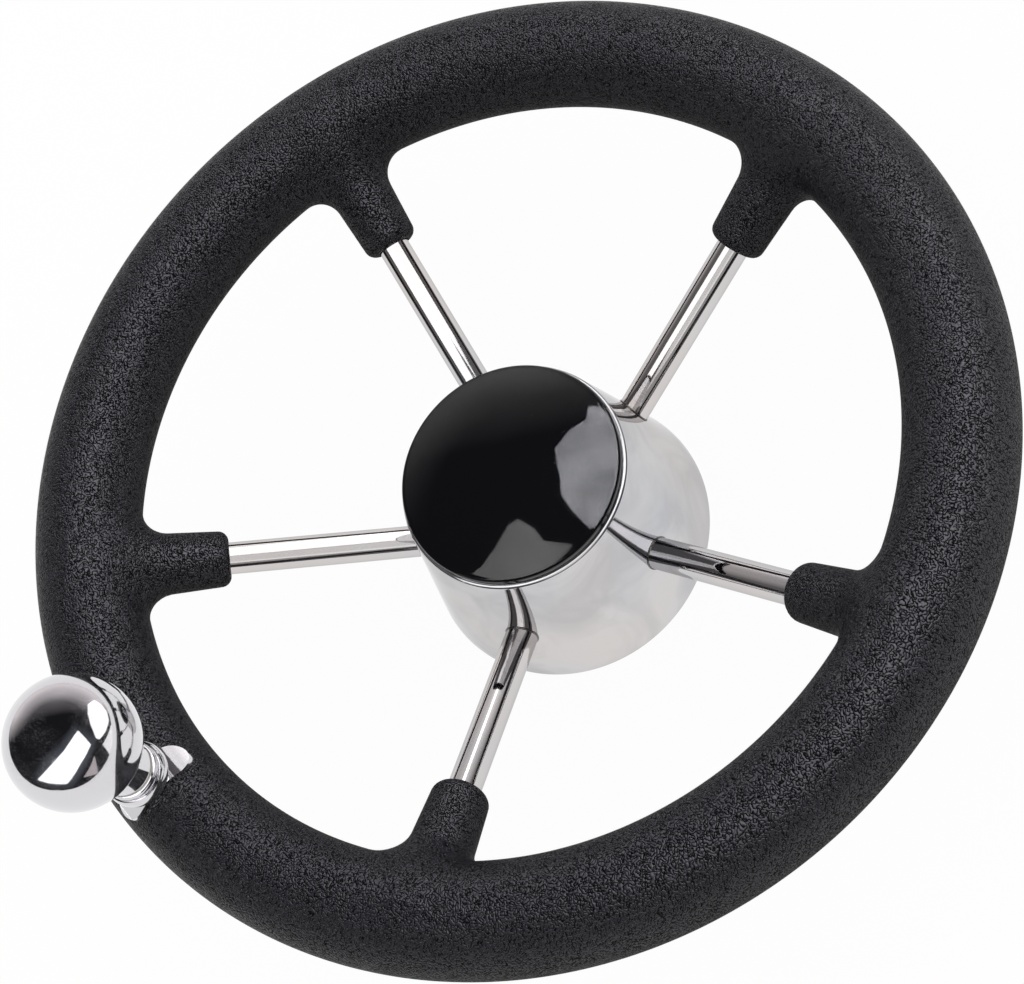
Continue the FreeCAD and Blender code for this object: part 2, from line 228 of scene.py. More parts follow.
def surfaced(name, field, rough_parts, voxel, body, material):
    """Mesh of a distance field's surface, grown from rough closed parts that lie close to it."""
    rounds = 8
    least_slope = 0.2
    vertices, faces = [], []
    for part_vertices, part_faces in rough_parts:
        base = len(vertices)
        vertices += [tuple(v) for v in part_vertices]
        faces += [tuple(base + corner for corner in face) for face in part_faces]
    mesh = bpy.data.meshes.new(name + "_rough")
    mesh.from_pydata(vertices, [], faces)
    rough = bpy.data.objects.new(name + "_rough", mesh)
    bpy.context.scene.collection.objects.link(rough)
    remesh = rough.modifiers.new("skin", "REMESH")
    remesh.mode = "VOXEL"
    remesh.voxel_size = voxel
    remesh.adaptivity = 0
    depsgraph = bpy.context.evaluated_depsgraph_get()
    even = bpy.data.meshes.new_from_object(rough.evaluated_get(depsgraph))
    bpy.data.objects.remove(rough)
    points = np.empty(len(even.vertices) * 3)
    even.vertices.foreach_get("co", points)
    points = points.reshape(-1, 3)
    for _ in range(rounds):
        slope = gradient(field, points)
        points -= slope * (field(points) / np.maximum((slope ** 2).sum(axis=1), least_slope))[:, None]
    slope = gradient(field, points)
    normals = slope / np.linalg.norm(slope, axis=1)[:, None]
    quads = [tuple(polygon.vertices) for polygon in even.polygons]
    bpy.data.meshes.remove(even)
    return add_object(name, points, quads, body, material, normals)


def rough_tube(path, radii, sides=24):
    """Closed tube of vertices and faces round straight runs between points."""
    vertices, faces = [], []
    for index, (point, radius) in enumerate(zip(path, radii)):
        ahead = path[min(index + 1, len(path) - 1)] - path[max(index - 1, 0)]
        across = ahead.cross(Vector((0, 0, 1))).normalized()
        up = across.cross(ahead).normalized()
        for side in range(sides):
            turn = 2 * math.pi * side / sides
            vertices.append(point + radius * (math.cos(turn) * across + math.sin(turn) * up))
        if index:
            low = (index - 1) * sides
            for side in range(sides):
                turn = (side + 1) % sides
                faces.append((low + side, low + turn, low + sides + turn, low + sides + side))
    faces.append(tuple(reversed(range(sides))))
    faces.append(tuple(range(len(vertices) - sides, len(vertices))))
    return vertices, faces


def rough_ring(radius, section, sides=20, steps=180):
    """Closed ring of vertices and faces along the rim."""
    vertices, faces = [], []
    for step in range(steps):
        turn = 2 * math.pi * step / steps
        for side in range(sides):
            roll = 2 * math.pi * side / sides
            reach = radius + section * math.cos(roll)
            height = RIM_HEIGHT + section * math.sin(roll)
            vertices.append((reach * math.cos(turn), reach * math.sin(turn), height))
            low = step * sides
            high = (step + 1) % steps * sides
            next_side = (side + 1) % sides
            faces.append((low + side, high + side, high + next_side, low + next_side))
    return vertices, faces


# Materials

class Shader:
    """A node material, built link by link."""

    def __init__(self, name):
        self.material = bpy.data.materials.new(name)
        self.material.use_nodes = True
        self.nodes = self.material.node_tree.nodes
        self.links = self.material.node_tree.links
        self.main = self.nodes["Principled BSDF"]

    def add(self, kind, settings=None, **sockets):
        """A new node. A socket's name has _ for each space."""
        node = self.nodes.new("ShaderNode" + kind)
        for key, value in (settings or {}).items():
            setattr(node, key, value)
        for key, value in sockets.items():
            self.put(node.inputs[key.replace("_", " ")], value)
        return node

    def put(self, socket, value):
        if isinstance(value, bpy.types.NodeSocket):
            self.links.new(value, socket)
        else:
            socket.default_value = value

    def set(self, **sockets):
        for key, value in sockets.items():
            self.put(self.main.inputs[key.replace("_", " ")], value)

    def place(self):
        return self.add("TexCoord").outputs["Object"]

    def noise(self, place, scale, **sockets):
        return self.add("TexNoise", Vector=place, Scale=scale, **sockets).outputs["Fac"]

    def ramp(self, factor, stops):
        """Colour ramp with (position, grey) or (position, (r, g, b)) stops."""
        node = self.add("ValToRGB", Fac=factor)
        ramp = node.color_ramp
        while len(ramp.elements) < len(stops):
            ramp.elements.new(0.5)
        for element, (position, value) in zip(ramp.elements, stops):
            element.position = position
            element.color = (*value, 1) if isinstance(value, tuple) else (value, value, value, 1)
        return node.outputs["Color"]

    def surface(self, closure):
        self.links.new(closure, self.nodes["Material Output"].inputs["Surface"])

    def math(self, operation, a, b=0.0):
        node = self.add("Math", {"operation": operation})
        self.put(node.inputs[0], a)
        self.put(node.inputs[1], b)
        return node.outputs["Value"]

    def mix(self, factor, a, b):
        node = self.add("MixRGB", Fac=factor)
        self.put(node.inputs["Color1"], a)
        self.put(node.inputs["Color2"], b)
        return node.outputs["Color"]

    def bump(self, height, distance, strength=1.0, under=None):
        node = self.add("Bump", Height=height, Distance=distance, Strength=strength)
        if under is not None:
            self.put(node.inputs["Normal"], under)
        return node.outputs["Normal"]


def polished_steel(name, low, high, mottle, edge, grime=0.0):
    """Mirror-polished stainless steel: faint waviness, cloudy tone and wipe marks that scatter light."""
    s = Shader(name)
    place = s.place()
    wave = s.noise(place, 60.0, Detail=2.0)
    cloud = s.noise(place, 45.0, Detail=3.0, Distortion=0.8)
    marks = s.noise(place, 900.0, Detail=6.0, Roughness=0.7)
    warmth = s.noise(place, 28.0, Detail=1.0)
    tone = s.ramp(cloud, [(0.5 - mottle, low), (0.5 + mottle, high)])
    hue = s.ramp(warmth, [(0.35, (0.96, 0.975, 1.0)), (0.65, (1.0, 0.975, 0.96))])
    tinted = s.add("MixRGB", {"blend_type": "MULTIPLY"}, Fac=1.0, Color1=tone, Color2=hue)
    s.set(
        Base_Color=tinted.outputs["Color"],
        Metallic=1.0,
        Specular_Tint=(edge, edge, edge, 1),
        Roughness=s.ramp(marks, [(0.35, 0.03), (0.75, 0.07 + grime)]),
        Normal=s.bump(wave, 0.06 * MM, 0.35),
    )
    return s.material


def handled_steel(name, low, high):
    """Mirror-polished steel of the knob, with the fine streaks that hands leave."""
    s = Shader(name)
    place = s.place()
    cloud = s.noise(place, 45.0, Detail=3.0, Distortion=0.8)
    turn = s.add("Mapping", Vector=place)
    turn.inputs["Rotation"].default_value = (0.5, 0.9, 0.3)
    turn.inputs["Scale"].default_value = (1.0, 7.0, 7.0)
    streaks = s.noise(turn.outputs["Vector"], 900.0, Detail=3.0, Roughness=0.6)
    patches = s.noise(place, 120.0, Detail=1.0)
    streaked = s.ramp(streaks, [(0.54, 0.0), (0.62, 1.0)])
    touched = s.ramp(patches, [(0.38, 0.0), (0.62, 1.0)])
    worn = s.math("MULTIPLY", streaked, touched)
    s.set(
        Base_Color=s.ramp(cloud, [(0.2, low), (0.8, high)]),
        Metallic=s.ramp(worn, [(0.0, 1.0), (1.0, 0.90)]),
        Roughness=s.ramp(worn, [(0.0, 0.025), (1.0, 0.24)]),
        Normal=s.bump(streaks, 0.01 * MM, 0.2),
    )
    return s.material


def plain_steel(name, tint):
    """Machined stainless steel, with fine turning lines."""
    s = Shader(name)
    place = s.place()
    rings = {"wave_type": "RINGS", "rings_direction": "Z"}
    lines = s.add("TexWave", rings, Vector=place, Scale=420.0, Distortion=1.5, Detail=2.0).outputs["Fac"]
    fleck = s.noise(place, 240.0, Detail=5.0)
    s.set(
        Base_Color=s.ramp(fleck, [(0.3, tuple(0.85 * c for c in tint)), (0.7, tint)]),
        Metallic=1.0,
        Roughness=s.ramp(fleck, [(0.3, 0.24), (0.7, 0.36)]),
        Normal=s.bump(lines, 0.02 * MM, 0.5),
    )
    return s.material


def foam_skin():
    """Black integral-skin foam, moulded with a grain of short winding grooves between rounded ridges; the
    grooves and ridge flanks are painted darker as shade.
    """
    s = Shader("foam_grain")
    place = s.place()
    drift = s.add("TexNoise", Vector=place, Scale=450.0, Detail=1.0).outputs["Color"]
    bent = s.add("VectorMath", {"operation": "MULTIPLY_ADD"})
    s.put(bent.inputs[0], drift)
    bent.inputs[1].default_value = (0.8 * MM,) * 3
    s.put(bent.inputs[2], place)
    field = s.noise(bent.outputs[0], 1280.0, Detail=0.0)
    contour = s.math("ABSOLUTE", s.math("SUBTRACT", field, 0.5))
    groove = s.ramp(contour, [(0.0, 0.0), (0.045, 0.35), (0.105, 1.0)])
    ridge = s.ramp(contour, [(0.0, 0.0), (0.05, 0.5), (0.12, 0.85), (0.26, 1.0)])
    breaks = s.ramp(s.noise(place, 850.0, Detail=1.0), [(0.58, 0.0), (0.68, 1.0)])
    skin = s.mix(breaks, groove, (1, 1, 1, 1))
    pores = s.noise(place, 2400.0, Detail=2.0, Roughness=0.6)
    broad = s.noise(place, 26.0, Detail=2.0)
    fine = s.bump(pores, 0.03 * MM, 0.6)
    facing = s.add("LayerWeight", Blend=0.5).outputs["Facing"]
    sheen = s.ramp(facing, [(0.22, 0.56), (0.5, 0.30), (0.8, 0.14)])
    open_sky = s.ramp(skin, [(0.0, 0.05), (0.4, 0.35), (1.0, 1.0)])
    # The base colour falls from the ridge tops down the flanks into the grooves: painted shade of the
    # grain's relief, added on top of the bump.
    groove_shade, flank_shade, top = (0.0010, 0.0010, 0.0012), (0.0040, 0.0039, 0.0052), (0.0127, 0.0122, 0.0162)
    s.set(
        Base_Color=s.ramp(skin, [(0.0, groove_shade), (0.4, flank_shade), (1.0, top)]),
        Roughness=s.ramp(broad, [(0.3, 0.27), (0.7, 0.32)]),
        Normal=s.bump(ridge, 0.40 * MM, 1.0, fine),
        Specular_IOR_Level=s.math("MULTIPLY", sheen, open_sky),
    )
    return s.material


def gloss_black():
    """High-gloss black moulding, with a trace of orange peel and dust."""
    s = Shader("cap_gloss")
    place = s.place()
    peel = s.noise(place, 90.0, Detail=1.0)
    dust = s.add("TexVoronoi", {"feature": "F1"}, Vector=place, Scale=140.0).outputs["Distance"]
    specks = s.ramp(dust, [(0.0, (0.09, 0.09, 0.09)), (0.035, (0.0050, 0.0050, 0.0060))])
    s.set(
        Base_Color=specks,
        Roughness=s.ramp(peel, [(0.3, 0.03), (0.7, 0.05)]),
        Normal=s.bump(peel, 0.02 * MM, 0.25),
        Specular_IOR_Level=0.5,
    )
    return s.material


def bush_plastic():
    """Natural acetal, slightly waxy."""
    s = Shader("bush_acetal")
    cloud = s.noise(s.place(), 400.0, Detail=3.0)
    s.set(
        Base_Color=s.ramp(cloud, [(0.3, (0.70, 0.69, 0.64)), (0.7, (0.78, 0.77, 0.73))]),
        Roughness=s.ramp(cloud, [(0.3, 0.38), (0.7, 0.5)]),
    )
    return s.material


hub_steel = polished_steel("hub_polish", (0.53, 0.525, 0.535), (0.655, 0.645, 0.645), 0.14, 0.78, 0.03)
spoke_steel = polished_steel("spoke_polish", (0.61, 0.595, 0.595), (0.655, 0.64, 0.64), 0.3, 0.72)
knob_steel = handled_steel("knob_polish", (0.66, 0.65, 0.67), (0.70, 0.69, 0.71))
machined = plain_steel("machined_steel", (0.56, 0.56, 0.57))
# The weld's steel is made dark as painted shade: it stands in for the shaded crevice where each spoke meets
# the hub.
weld_painted_shade = plain_steel("weld_painted_shade_steel", (0.16, 0.15, 0.145))
foam = foam_skin()
black = gloss_black()
acetal = bush_plastic()


# Pieces

def spoke_frame(index):
    """Unit vector along a spoke, from the hub outwards, and its outward plan direction."""
    turn = math.radians(90 + 360 * index / SPOKE_COUNT)
    plan = Vector((math.cos(turn), math.sin(turn), 0))
    return (plan + Vector((0, 0, SPOKE_SLOPE))).normalized(), plan


def spoke_point(plan, radius):
    """Point on a spoke's centre line at a distance from the shaft axis."""
    return plan * radius + Vector((0, 0, RIM_HEIGHT - (RIM_RADIUS - radius) * SPOKE_SLOPE))


def grip_field(points):
    """Distance to the foam: the round rim and its tapered sleeves, with rolled fillets between."""
    rim = rim_distance(points, GRIP_RADIUS)
    for index in range(SPOKE_COUNT):
        along, plan = spoke_frame(index)
        tip = np.array(spoke_point(plan, SLEEVE_END_RADIUS))
        length = (spoke_point(plan, RIM_RADIUS) - spoke_point(plan, SLEEVE_END_RADIUS)).length
        offset = points - tip
        depth = offset @ np.array(along)
        reach = np.linalg.norm(offset - depth[:, None] * np.array(along), axis=1)
        taper = (SLEEVE_ROOT_RADIUS - SLEEVE_TIP_RADIUS) / length
        side = (reach - SLEEVE_TIP_RADIUS - taper * depth) / math.hypot(1, taper)
        sleeve = round_overlap(side, -depth, SLEEVE_TIP_ROUND)
        recess = np.maximum(reach - SPOKE_RADIUS - SOCKET_GAP, depth - SOCKET_DEPTH)
        sleeve = np.maximum(sleeve, -recess)
        sleeve = np.maximum(sleeve, depth - length)
        rim = round_union(rim, sleeve, SLEEVE_BLEND)
    return rim


def build_grip():
    """Foam moulding, meshed over rough tubes and drawn onto its exact surface."""
    voxel = 1.05 * MM
    spare = 2 * MM
    parts = [rough_ring(RIM_RADIUS, GRIP_RADIUS)]
    for index in range(SPOKE_COUNT):
        _, plan = spoke_frame(index)
        path = [spoke_point(plan, SLEEVE_END_RADIUS), spoke_point(plan, RIM_RADIUS)]
        parts.append(rough_tube(path, [SLEEVE_TIP_RADIUS, SLEEVE_ROOT_RADIUS + spare]))
    piece = surfaced("grip_foam", grip_field, parts, voxel, WHEEL, foam)
    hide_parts("rim_grip")


def build_spokes():
    """Polished tubes, coped to the hub's wall, and the thin weld at each root, coloured dark as painted
    shade of the crevice there.
    """
    sides, steps = 96, 24
    inset = 2 * MM
    for index in range(SPOKE_COUNT):
        along, plan = spoke_frame(index)
        across = along.cross(Vector((0, 0, 1))).normalized()
        up = across.cross(along)
        end = spoke_point(plan, RIM_RADIUS - inset)
        start = spoke_point(plan, SPOKE_ROOT_RADIUS)
        length = (end - start).length
        vertices, faces = [], []
        weld = []
        for side in range(sides):
            turn = 2 * math.pi * side / sides
            rim = SPOKE_RADIUS * (math.cos(turn) * across + math.sin(turn) * up)
            root = cope_depth(start + rim, along)
            weld.append(start + rim + root * along)
            for step in range(steps + 1):
                distance = root + (length - root) * step / steps
                vertices.append(start + rim + along * distance)
        for side in range(sides):
            low, high = side * (steps + 1), (side + 1) % sides * (steps + 1)
            for step in range(steps):
                faces.append((low + step, low + step + 1, high + step + 1, high + step))
        piece = add_object(f"spoke_tube_{index + 1}", vertices, faces, WHEEL, spoke_steel)
        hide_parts(f"spoke_{index + 1}")
        # The bead's dark steel is painted shade of the crevice at the spoke's root.
        bead(f"weld_{index + 1}", weld, WELD_RADIUS, weld_painted_shade)


def cope_depth(point, along):
    """How far a point moves along a spoke to lie on the hub's outer wall."""
    distance = 0.0
    for _ in range(12):
        place = point + along * distance
        gap = math.hypot(place.x, place.y) - hub_radius(place.z)
        outward = Vector((place.x, place.y, 0)).normalized()
        slope = along.dot(outward) + along.z * (HUB_BACK_RADIUS - HUB_MOUTH_RADIUS) / HUB_HEIGHT
        distance -= gap / slope
    return distance


def bead(name, path, radius, material, sides=8):
    """Thin closed bead along a closed path."""
    count = len(path)
    vertices, faces = [], []
    middle = sum(path, Vector()) / count
    for index, point in enumerate(path):
        ahead = (path[(index + 1) % count] - path[index - 1]).normalized()
        out = point - middle
        out = (out - ahead * out.dot(ahead)).normalized()
        aside = ahead.cross(out)
        for side in range(sides):
            turn = 2 * math.pi * side / sides
            vertices.append(point + radius * (math.cos(turn) * out + math.sin(turn) * aside))
            low, high, next_side = index * sides, (index + 1) % count * sides, (side + 1) % sides
            faces.append((low + side, high + side, high + next_side, low + next_side))
    return add_object(name, vertices, faces, WHEEL, material)


def build_hub():
    """Spun shell with a bead rolled into its mouth."""
    inside_back = HUB_BACK_RADIUS - HUB_WALL
    lip_inner = HUB_MOUTH_RADIUS - HUB_LIP_WIDTH
    lip_foot = HUB_HEIGHT - HUB_LIP_DEPTH
    wall_turn = 8
    back_round = (HUB_BACK_RADIUS - HUB_BACK_ROUND_INSET, HUB_BACK_ROUND)
    lip_round = (HUB_MOUTH_RADIUS - HUB_LIP_ROUND, HUB_HEIGHT - HUB_LIP_ROUND)
    profile = (
        [(inside_back, HUB_BACK_CHAMFER), (inside_back + HUB_BACK_CHAMFER, 0)]
        + arc(back_round, HUB_BACK_ROUND, -90, wall_turn, 6)
        + arc(lip_round, HUB_LIP_ROUND, wall_turn, 90, 14)
        + [(lip_inner, HUB_HEIGHT), (lip_inner, lip_foot), (hub_radius(lip_foot) - HUB_WALL, lip_foot)]
    )
    longest = 3 * MM
    profile = split_long(profile, longest)
    piece = turned("hub_skin", profile, WHEEL, hub_steel, 384, closed=True)
    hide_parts("hub_shell")


def build_cap():
    """Glossy dome with a rounded edge that seats on the hub's lip."""
    dome_radius = (CAP_SHOULDER_RADIUS ** 2 + CAP_CROWN_RISE ** 2) / (2 * CAP_CROWN_RISE)
    dome_centre = CAP_EDGE_TOP + CAP_CROWN_RISE - dome_radius
    slope = 90 - math.degrees(math.asin(CAP_SHOULDER_RADIUS / dome_radius))
    profile = (
        arc((0, dome_centre), dome_radius, 90, slope, 60)
        + arc((CAP_SHOULDER_RADIUS, CAP_EDGE_TOP - CAP_EDGE_ROUND), CAP_EDGE_ROUND, slope, 0, 10)
        + [(CAP_SHOULDER_RADIUS + CAP_EDGE_ROUND, HUB_HEIGHT), (CAP_SPIGOT_OUTER, HUB_HEIGHT)]
        + [(CAP_SPIGOT_OUTER, CAP_SPIGOT_FOOT), (CAP_SPIGOT_INNER, CAP_SPIGOT_FOOT)]
        + [(CAP_SPIGOT_INNER, CAP_INSIDE_EDGE), (0, CAP_INSIDE_TOP)]
    )
    piece = turned("cap_dome", profile, WHEEL, black, 384)
    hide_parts("centre_cap")


def build_ball():
    """Ball and neck, turned as one and bored from below."""
    blend_centre = NECK_RADIUS + NECK_BLEND
    drop = math.sqrt((BALL_RADIUS + NECK_BLEND) ** 2 - blend_centre ** 2)
    touch = math.degrees(math.atan2(-drop, blend_centre))
    profile = (
        [(0, BORE_TOP), (BORE_RADIUS, BORE_TOP)]
        + [(BORE_RADIUS, NECK_FOOT + BORE_CHAMFER), (BORE_RADIUS + BORE_CHAMFER, NECK_FOOT)]
        + [(NECK_RADIUS - NECK_CHAMFER, NECK_FOOT), (NECK_RADIUS, NECK_FOOT + NECK_CHAMFER)]
        + arc((blend_centre, BALL_HEIGHT - drop), NECK_BLEND, 180, 180 + touch, 10)
        + arc((0, BALL_HEIGHT), BALL_RADIUS, touch, 90, 160)
    )
    piece = turned("ball_and_neck", profile, KNOB, knob_steel, 320, KNOB_AXIS)
    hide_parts("knob_ball")


def dress_nodes():
    """Finishes for the solids that stay as they are."""
    machined_parts = (
        "rim_ring", "hub_web", "shaft_boss", "shaft_washer", "shaft_nut", "knob_lock_washer", "knob_bolt",
        "knob_spindle", "knob_thrust_washer",
    )
    finishes = (
        (machined, machined_parts),
        (knob_steel, ("knob_saddle", "knob_back_plate")),
        (acetal, ("knob_lower_bush", "knob_upper_bush")),
    )
    for material, names in finishes:
        for name in names:
            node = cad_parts[name]
            node.data.materials.clear()
            node.data.materials.append(material)


# Studio

def direction(azimuth, elevation):
    """Unit vector from an azimuth and an elevation in degrees."""
    a, e = math.radians(azimuth), math.radians(elevation)
    return Vector((math.cos(e) * math.cos(a), math.cos(e) * math.sin(a), math.sin(e)))


def studio_point(azimuth, elevation, distance):
    """Point in a direction from the studio's centre."""
    return STUDIO_CENTRE + distance * direction(azimuth, elevation)


def build_camera():
    """Camera at the photograph's viewing angle, with its roll and lens."""
    out = direction(CAMERA_AZIMUTH, CAMERA_ELEVATION)
    roll = math.radians(CAMERA_ROLL)
    right = (-out).cross(Vector((0, 0, 1))).normalized()
    up = right.cross(-out)
    rolled_up = math.cos(roll) * up + math.sin(roll) * right
    rolled_right = rolled_up.cross(out)
    data = bpy.data.cameras.new("photo_camera")
    data.lens = CAMERA_LENS
    data.sensor_width = SENSOR_WIDTH
    data.sensor_fit = "HORIZONTAL"
    data.clip_start = 0.01
    camera = bpy.data.objects.new("photo_camera", data)
    turn = Matrix((rolled_right, rolled_up, out)).transposed().to_4x4()
    camera.matrix_world = Matrix.Translation(CAMERA_AIM + CAMERA_DISTANCE * out) @ turn
    bpy.context.scene.collection.objects.link(camera)
    bpy.context.scene.camera = camera


def furniture(name, vertices, faces, material):
    """Mesh that belongs to the studio and not to the wheel."""
    mesh = bpy.data.meshes.new(name)
    mesh.from_pydata([tuple(v) for v in vertices], [], faces)
    mesh.materials.append(material)
    piece = bpy.data.objects.new(name, mesh)
    bpy.context.scene.collection.objects.link(piece)
    return piece


def seen_background(s, closure):
    """The closure, under a white that the camera, metal and glass see."""
    path = s.add("LightPath")
    seen = s.math("MAXIMUM", path.outputs["Is Camera Ray"], path.outputs["Is Glossy Ray"])
    seen = s.math("MAXIMUM", seen, path.outputs["Is Transmission Ray"])
    white = s.add("Emission", Color=(1, 1, 1, 1), Strength=1.0)
    white_share = 0.95
    mix = s.add("MixShader", Fac=s.math("MULTIPLY", seen, white_share))
    s.links.new(closure, mix.inputs[1])
    s.links.new(white.outputs[0], mix.inputs[2])
    return mix.outputs[0]


def build_floor(shown_in):
    """Pale table, which reaches further behind the wheel than in front of it."""
    s = Shader("floor_white")
    s.set(Base_Color=(0.93, 0.93, 0.93, 1), Roughness=0.9, Specular_IOR_Level=0.0)
    s.surface(seen_background(s, s.main.outputs[0]))
    back, front, side, level = -1.6, 0.7, 1.6, -0.05 * MM
    corners = [(back, -side, level), (front, -side, level), (front, side, level), (back, side, level)]
    floor = furniture("floor", corners, [(0, 1, 2, 3)], s.material)
    floor.light_linking.receiver_collection = shown_in


def reflected_only(piece, shown_in):
    """Leaves a piece of furniture to the reflections in some pieces, out of the camera's sight."""
    piece.visible_camera = False
    piece.visible_diffuse = False
    piece.visible_shadow = False
    piece.light_linking.receiver_collection = shown_in


def reflection_group(name, pieces):
    """Pieces that one set of studio sheets was put up for."""
    group = bpy.data.collections.new(name)
    for piece in pieces:
        group.objects.link(piece)
    return group


def glow(s, color, strength):
    """Light that adds to what is behind it."""
    light = s.add("Emission", Color=color, Strength=strength)
    clear = s.add("BsdfTransparent")
    both = s.add("AddShader")
    s.links.new(light.outputs[0], both.inputs[0])
    s.links.new(clear.outputs[0], both.inputs[1])
    s.surface(both.outputs[0])


def build_room(shown_in):
    """Dark room round the table, with a pale sweep low down behind it."""
    s = Shader("room_dark")
    split = s.add("SeparateXYZ", Vector=s.place())
    height = s.math("MULTIPLY", split.outputs["Z"], 0.4)
    low_fade = s.ramp(height, [(0.0, 1.0), (0.09, 1.0), (0.30, 0.45), (0.58, 0.0)])
    back = s.math("MULTIPLY", split.outputs["X"], -0.22)
    aside = s.math("MULTIPLY", split.outputs["Y"], 0.12)
    side_fade = s.ramp(s.math("ADD", back, aside), [(0.16, 0.0), (0.34, 1.0)])
    share = s.math("MULTIPLY", low_fade, side_fade)
    sweep = s.mix(share, (0.012, 0.012, 0.014, 1), (0.82, 0.77, 0.78, 1))
    s.surface(s.add("Emission", Color=sweep, Strength=1.0).outputs[0])
    rings, sides = 24, 48
    vertices, faces = [], []
    for ring in range(rings + 1):
        for side in range(sides):
            vertices.append(studio_point(360 * side / sides, 180 * ring / rings - 90, ROOM_RADIUS))
    for ring in range(rings):
        for side in range(sides):
            low, high, turn = ring * sides, (ring + 1) * sides, (side + 1) % sides
            faces.append((low + side, low + turn, high + turn, high + side))
    room = furniture("room", vertices, faces, s.material)
    room.data.shade_smooth()
    reflected_only(room, shown_in)


def sheet(name, shown_in, strength, outline, middle, distance=SHEET_DISTANCE,
          tint=(1, 1, 1), soft=False, uneven=0.0):
    """Glowing sheet fanned from its middle to its outline, both given as directions."""
    s = Shader(name)
    cloud = s.noise(s.place(), 2.2, Detail=1.0)
    level = s.ramp(cloud, [(0.35, 1.0 - uneven), (0.65, 1.0 + uneven)])
    if soft:
        inner = s.add("Attribute", {"attribute_name": "inner"}).outputs["Fac"]
        level = s.math("MULTIPLY", level, s.ramp(inner, [(0.0, 0.0), (0.5, 0.35), (1.0, 1.0)]))
    glow(s, (*tint, 1), s.math("MULTIPLY", level, strength))
    steps = 8
    vertices = [studio_point(*middle, distance)]
    for start, end in zip(outline, outline[1:] + outline[:1]):
        for step in range(steps):
            way = direction(*start).lerp(direction(*end), step / steps).normalized()
            vertices.append(STUDIO_CENTRE + distance * way)
    count = len(vertices) - 1
    faces = [(0, 1 + step, 1 + (step + 1) % count) for step in range(count)]
    piece = furniture(name, vertices, faces, s.material)
    piece.data.attributes.new("inner", "FLOAT", "POINT").data[0].value = 1.0
    reflected_only(piece, shown_in)


def umbrella(name, shown_in, strength, foot, tint=(1, 1, 1)):
    """Faint glow from all round, down to an elevation."""
    outline = [(turn, foot) for turn in range(0, 360, 45)]
    sheet(name, shown_in, strength, outline, ZENITH, UMBRELLA_DISTANCE, tint)


def low_sheet(name, shown_in, inside, outside):
    """Glowing sheet just over the floor, of one strength inside the rim's circle and another outside it."""
    s = Shader(name)
    reach = s.add("VectorMath", {"operation": "LENGTH"})
    s.put(reach.inputs[0], s.place())
    edge = RIM_RADIUS + GRIP_RADIUS
    fade = 50 * MM
    glow(s, (1, 1, 1, 1), s.ramp(reach.outputs["Value"], [(edge, inside), (edge + fade, outside)]))
    half, level = 0.9, 0.2 * MM
    corners = [(-half, -half, level), (half, -half, level), (half, half, level), (-half, half, level)]
    reflected_only(furniture(name, corners, [(0, 1, 2, 3)], s.material), shown_in)


def key_lamp(name, shown_in, strength, azimuth, elevation, width, tint):
    """Soft lamp far off in a direction, its width in degrees."""
    data = bpy.data.lights.new(name, "SUN")
    data.energy = strength
    data.angle = math.radians(width)
    data.color = tint
    lamp = bpy.data.objects.new(name, data)
    lamp.rotation_euler = direction(azimuth, elevation).to_track_quat("Z", "Y").to_euler()
    lamp.light_linking.receiver_collection = shown_in
    bpy.context.scene.collection.objects.link(lamp)


def light_tubes(tubes):
    """Sheets over the spokes and the hub."""
    sheet(
        "light_over", tubes, 1.55,
        [(-103, 37), (-120, 48), (-150, 65), (170, 72), (138, 45), (130, 24), (112, 33), (66, 38),
         (50, 56), (36, 68), (-30, 72), (-58, 60), (-66, 50)],
        (90, 75),
    )
    umbrella("light_haze", tubes, 0.13, -4, (1.0, 0.96, 0.95))
    sheet(
        "light_back", tubes, 1.35,
        [(76, 8), (130, 4), (172, 8), (168, 36), (130, 42), (78, 36)],
        (124, 23), soft=True,
    )
    sheet(
        "light_half_low", tubes, 0.24,
        [(-42, 34), (-14, 36), (10, 30), (8, 16), (-20, 12), (-40, 18)],
        (-18, 24),
    )
    sheet(
        "light_half", tubes, 0.72,
        [(-64, 50), (-55, 60), (-28, 71), (34, 67), (47, 55), (20, 45), (-14, 24), (-30, 28), (-45, 38)],
        (-15, 55),
    )


def light_knob(knob, saddle):
    """Sheets in front of the knob, and one on each side of its saddle."""
    sheet(
        "light_front", knob, 1.6,
        [(48, 56), (24, 30), (-14, 25), (-48, 6), (-64, 9), (-85, 10), (-60, 40), (-24, 57)],
        (-28, 32),
    )
    sheet(
        "light_side", knob, 1.6,
        [(102, 24), (106, 9), (97, 4), (85, 0), (70, 1), (52, 9), (38, 18), (38, 25), (61, 35), (84, 34)],
        (72, 16), uneven=0.06,
    )
    sheet(
        "light_low", knob, 1.22,
        [(64, -2), (46, -26), (30, -21), (17, -16), (31, 11)],
        (38, -8), uneven=0.08,
    )
    sheet("light_low_rose", knob, 0.55, [(10, 16), (-9, -8), (-25, 4)], (-8, 4), tint=(1.0, 0.9, 0.9))
    sheet(
        "light_front_halo", knob, 0.38,
        [(75, 60), (44, 20), (-14, 12), (-48, -6), (-95, 4), (-80, 50), (-24, 74)],
        (-20, 34), tint=(0.80, 0.88, 1.0), soft=True,
    )
    sheet(
        "light_knob_behind", knob, 0.34,
        [(70, 10), (110, -4), (150, -8), (190, -4), (230, 10), (200, 52), (150, 66), (100, 52)],
        (150, 24), tint=(1.0, 0.95, 0.96), soft=True,
    )
    umbrella("light_knob_haze", knob, 0.018, 0, (0.9, 0.93, 1.0))
    sheet(
        "light_saddle_out", saddle, 0.85,
        [(-150, -12), (-90, -16), (-30, -12), (-35, 45), (-90, 52), (-145, 45)],
        (-90, 18),
    )
    sheet(
        "light_saddle_in", saddle, 0.68,
        [(40, 0), (90, -4), (140, 0), (135, 40), (90, 46), (45, 40)],
        (90, 20), uneven=0.3,
    )


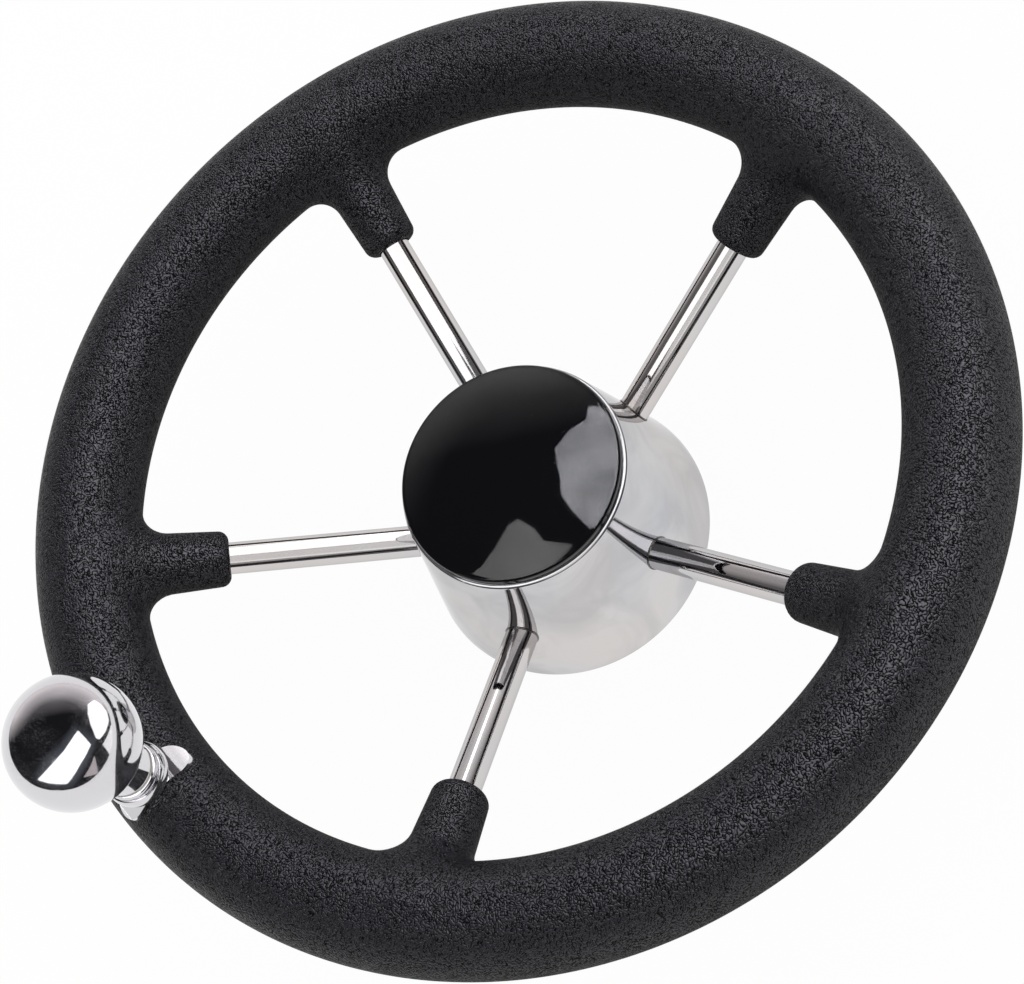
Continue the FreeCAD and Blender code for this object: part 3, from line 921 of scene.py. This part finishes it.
def light_cap(cap):
    """Two windows and a soft top light, as the cap shows them."""
    sheet(
        "light_window_right", cap, 4.6,
        [(117, 42), (122, 43), (120, 49), (127, 55), (134, 63), (132, 67), (124, 74), (110, 81),
         (57, 82), (23, 74), (34, 72), (51, 67), (69, 62), (82, 57), (96, 53), (107, 47)],
        (95, 66), tint=(0.94, 0.94, 1.0), uneven=0.35,
    )
    sheet(
        "light_window_low", cap, 2.3,
        [(-109, 49), (-108, 57), (-113, 65), (-130, 73), (-136, 77), (-103, 82), (-65, 80), (-11, 76),
         (-42, 72), (-64, 67), (-84, 61), (-99, 55)],
        (-98, 70), uneven=0.15,
    )
    sheet(
        "light_cap_top", cap, 1.05,
        [(70, 10), (110, -4), (150, -8), (190, -4), (205, 14), (190, 36), (170, 52), (140, 56), (100, 40)],
        (140, 20), soft=True,
    )


def light_grip(grip):
    """Sheets and the key lamp that model the foam and bring out its grain."""
    sheet(
        "light_foam_over", grip, 1.8,
        [(120, 58), (70, 48), (30, 40), (-10, 40), (-45, 60), (-100, 78), (-170, 66), (160, 60)],
        (50, 76), NEAR_SHEET_DISTANCE, tint=(0.95, 0.93, 1.0),
    )
    key_lamp("key_foam", grip, 1.8, 92, 61, 32, (0.96, 0.93, 1.0))
    sheet(
        "light_foam_back", grip, 1.3,
        [(35, 4), (130, 4), (195, 8), (185, 38), (130, 44), (45, 36)],
        (115, 24), tint=(0.97, 0.95, 1.0),
    )
    umbrella("light_foam_haze", grip, 0.14, 0)
    low_sheet("light_foam_low", grip, 0.25, 0.7)


def build_studio():
    """White world, floor, room, and the sheets that each group of pieces reflects."""
    world = bpy.data.worlds.new("studio")
    bpy.context.scene.world = world
    world.use_nodes = True
    world.node_tree.nodes["Background"].inputs["Color"].default_value = (1, 1, 1, 1)
    world.node_tree.nodes["Background"].inputs["Strength"].default_value = 1.0
    shown = {piece.name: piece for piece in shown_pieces()}
    tubes = [piece for name, piece in shown.items() if name.startswith(("spoke_tube", "weld", "hub_skin"))]
    knob = [shown[name] for name in ("ball_and_neck", "knob_saddle", "knob_back_plate")]
    glossy = reflection_group("lit_glossy", [piece for name, piece in shown.items() if name != "grip_foam"])
    build_floor(glossy)
    build_room(glossy)
    light_tubes(reflection_group("lit_tubes", tubes))
    light_knob(reflection_group("lit_knob", knob), reflection_group("lit_saddle", [shown["knob_saddle"]]))
    light_cap(reflection_group("lit_cap", [shown["cap_dome"]]))
    light_grip(reflection_group("lit_grip", [shown["grip_foam"]]))


build_grip()
build_spokes()
build_hub()
build_cap()
build_ball()
dress_nodes()
build_camera()
build_studio()

scene = bpy.context.scene
scene.view_settings.view_transform = "Standard"
